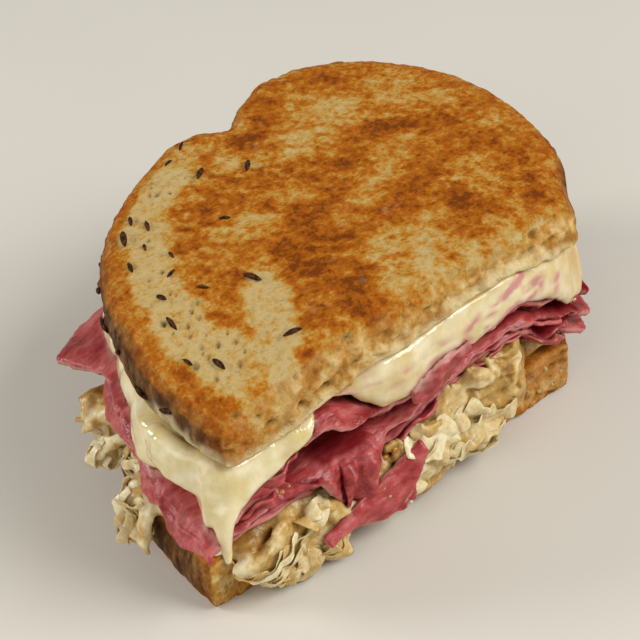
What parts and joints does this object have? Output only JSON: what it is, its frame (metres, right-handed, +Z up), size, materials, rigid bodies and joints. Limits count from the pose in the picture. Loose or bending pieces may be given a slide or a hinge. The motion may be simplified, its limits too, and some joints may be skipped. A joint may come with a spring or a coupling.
{
  "type": "reuben sandwich half",
  "caption": "Half of a toasted rye sandwich, knife cut to the front, filled with sauerkraut, folded corned beef and melted cheese.",
  "frame": {"origin": "middle of the underside, on the surface that the sandwich lies on", "axes": "+X along the knife cut, to the right as seen from the cut; +Y from the cut into the sandwich, so the cut faces -Y; +Z up"},
  "size_m": [0.1204, 0.097, 0.052],
  "materials": {
    "toasted_rye": "dry browned crumb and crust",
    "corned_beef": "moist sliced meat",
    "melted_cheese": "glossy melted cheese",
    "sauerkraut": "wet translucent shreds"
  },
  "bodies": {
    "root": {"bottom_bread": "toasted_rye", "top_bread": "toasted_rye", "corned_beef_lower": "corned_beef", "corned_beef_middle": "corned_beef", "corned_beef_upper": "corned_beef", "corned_beef_leaf": "corned_beef", "corned_beef_scrap": "corned_beef", "melted_cheese": "melted_cheese", "sauerkraut": "sauerkraut"}
  },
  "joints": []
}
